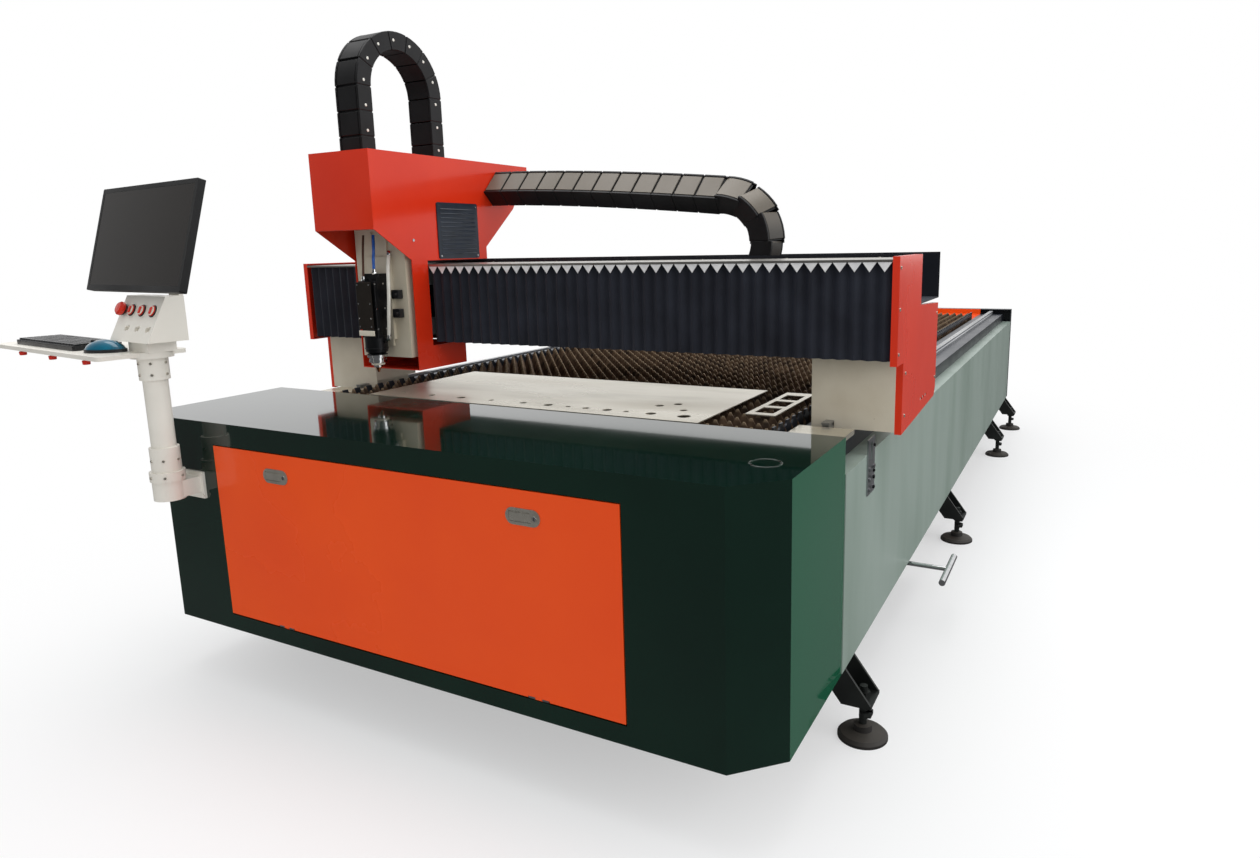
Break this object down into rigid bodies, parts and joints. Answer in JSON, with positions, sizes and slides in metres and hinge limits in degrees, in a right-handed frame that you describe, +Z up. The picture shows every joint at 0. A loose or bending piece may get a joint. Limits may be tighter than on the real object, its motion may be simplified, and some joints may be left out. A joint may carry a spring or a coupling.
{
  "type": "fiber laser cutting machine",
  "caption": "Flat-bed laser cutting machine with a sliding gantry, cross carriage and height axis over a slatted table, cabinet front and a swivelling control arm.",
  "frame": {"origin": "middle of the footprint of the whole machine, on the floor", "axes": "+X towards the right-hand side seen from the front cabinet, +Y from the front cabinet to the rear end along the bed, +Z up"},
  "size_m": [2.7447, 5.183, 2.0759],
  "materials": {
    "frame_navy": "satin enamel",
    "panel_grey": "satin enamel",
    "orange_enamel": "gloss enamel",
    "hood_enamel": "high gloss enamel",
    "zinc_steel": "zinc plated",
    "slat_steel": "scorched mild steel",
    "cut_steel": "mill finish sheet",
    "cast_beige": "smooth paint",
    "pad_black": "moulded",
    "arm_white": "satin powder coat",
    "satin_alloy": "satin",
    "drawer_grey": "satin paint",
    "key_black": "moulded",
    "mouse_blue": "gloss",
    "signal_red": "moulded",
    "monitor_black": "fine texture",
    "screen_glass": "anti-glare",
    "cover_red": "satin enamel",
    "beam_grey": "satin paint",
    "motor_black": "satin",
    "bright_sheet": "mill finish",
    "bellows_cloth": "coated cloth",
    "chain_black": "moulded nylon",
    "grille_blue": "satin",
    "head_black": "black anodised",
    "nozzle_chrome": "polished",
    "hose_white": "extruded",
    "hose_blue": "extruded",
    "cable_brown": "extruded"
  },
  "bodies": {
    "bed": {"base_frame": "frame_navy", "rail_beams": "frame_navy", "side_panels": "panel_grey", "rear_frame": "frame_navy", "rear_baffle": "orange_enamel", "front_hood": "hood_enamel", "panel_hinges": "zinc_steel", "slats": "slat_steel", "slat_combs": "frame_navy", "cut_sheets": "cut_steel", "y_guides": "zinc_steel", "guide_end_covers": "cast_beige", "foot_brackets": "frame_navy", "foot_studs": "zinc_steel", "foot_pads": "pad_black", "limit_bracket": "frame_navy", "arm_bracket": "arm_white"},
    "front_panel": {"access_panel": "orange_enamel", "latch_bezels": "satin_alloy"},
    "left_latch": {"left_latch_paddle": "satin_alloy"},
    "right_latch": {"right_latch_paddle": "satin_alloy"},
    "drawer": {"slag_drawer": "drawer_grey", "drawer_handle": "zinc_steel"},
    "control_arm": {"arm_sleeve": "arm_white", "arm_tube": "arm_white", "arm_collar": "arm_white", "keyboard_tray": "arm_white", "console_box": "arm_white", "keyboard": "key_black", "mouse": "mouse_blue", "monitor_bracket": "arm_white"},
    "stop_knob": {"stop_button": "signal_red"},
    "button_1": {"push_button_1": "signal_red"},
    "button_2": {"push_button_2": "signal_red"},
    "button_3": {"push_button_3": "signal_red"},
    "monitor": {"monitor_housing": "monitor_black", "monitor_screen": "screen_glass"},
    "gantry": {"gantry_beam": "beam_grey", "foot_blocks": "cast_beige", "y_motors": "motor_black", "end_covers": "cover_red", "beam_top_cover": "bright_sheet", "x_guides": "zinc_steel", "left_bellows": "bellows_cloth", "right_bellows": "bellows_cloth", "chain_tray": "chain_black"},
    "carriage": {"carriage_plate": "drawer_grey", "column_cover": "cover_red", "vent_grille": "grille_blue", "head_cover": "cover_red", "z_housing": "cast_beige", "x_chain_run": "chain_black", "z_chain": "chain_black"},
    "chain_loop": {"x_chain_bend": "chain_black"},
    "height_slide": {"height_plate": "cast_beige", "laser_head": "head_black", "nozzle_stack": "nozzle_chrome", "white_hose": "hose_white", "blue_hose": "hose_blue", "signal_cable": "cable_brown"}
  },
  "joints": [
    {"name": "front_panel_drop", "type": "hinge", "parent": "bed", "child": "front_panel", "pos_m": [0.17936, -2.35454, 0.266], "axis": [1, 0, 0], "range_deg": [0, 90]},
    {"name": "left_latch_pull", "type": "hinge", "parent": "front_panel", "child": "left_latch", "pos_m": [-0.25064, -2.35554, 0.736], "axis": [-1, 0, 0], "range_deg": [0, 35], "stiffness_Nm_per_rad": 0.3},
    {"name": "right_latch_pull", "type": "hinge", "parent": "front_panel", "child": "right_latch", "pos_m": [0.60936, -2.35554, 0.736], "axis": [-1, 0, 0], "range_deg": [0, 35], "stiffness_Nm_per_rad": 0.3},
    {"name": "drawer_pull", "type": "slide", "parent": "bed", "child": "drawer", "axis": [1, 0, 0], "range_m": [0, 0.75]},
    {"name": "arm_swivel", "type": "hinge", "parent": "bed", "child": "control_arm", "pos_m": [-0.62064, -2.43854, 0.697], "axis": [0, 0, 1], "range_deg": [-45, 90]},
    {"name": "monitor_tilt", "type": "hinge", "parent": "control_arm", "child": "monitor", "pos_m": [-0.61219, -2.37349, 1.37991], "axis": [0.9917, -0.1288, 0], "range_deg": [-12, 7]},
    {"name": "emergency_press", "type": "slide", "parent": "control_arm", "child": "stop_knob", "axis": [0.1157, 0.8912, -0.4386], "range_m": [0, 0.005]},
    {"name": "button_1_press", "type": "slide", "parent": "control_arm", "child": "button_1", "axis": [0.1157, 0.8912, -0.4386], "range_m": [0, 0.003], "stiffness_N_per_m": 400},
    {"name": "button_2_press", "type": "slide", "parent": "control_arm", "child": "button_2", "axis": [0.1157, 0.8912, -0.4386], "range_m": [0, 0.003], "stiffness_N_per_m": 400},
    {"name": "button_3_press", "type": "slide", "parent": "control_arm", "child": "button_3", "axis": [0.1157, 0.8912, -0.4386], "range_m": [0, 0.003], "stiffness_N_per_m": 400},
    {"name": "gantry_travel", "type": "slide", "parent": "bed", "child": "gantry", "axis": [0, 1, 0], "range_m": [0, 3.2]},
    {"name": "carriage_travel", "type": "slide", "parent": "gantry", "child": "carriage", "axis": [1, 0, 0], "range_m": [-0.08, 1.32], "deforming": ["x_chain_run", "left_bellows", "right_bellows"]},
    {"name": "chain_roll", "type": "slide", "parent": "gantry", "child": "chain_loop", "axis": [1, 0, 0], "range_m": [-0.04, 0.66]},
    {"name": "head_height", "type": "slide", "parent": "carriage", "child": "height_slide", "axis": [0, 0, 1], "range_m": [-0.07, 0.04], "deforming": ["z_chain", "white_hose", "blue_hose", "signal_cable"]}
  ],
  "couplings": [
    {"joint": "chain_roll", "follows": "carriage_travel", "ratio": 0.5}
  ]
}
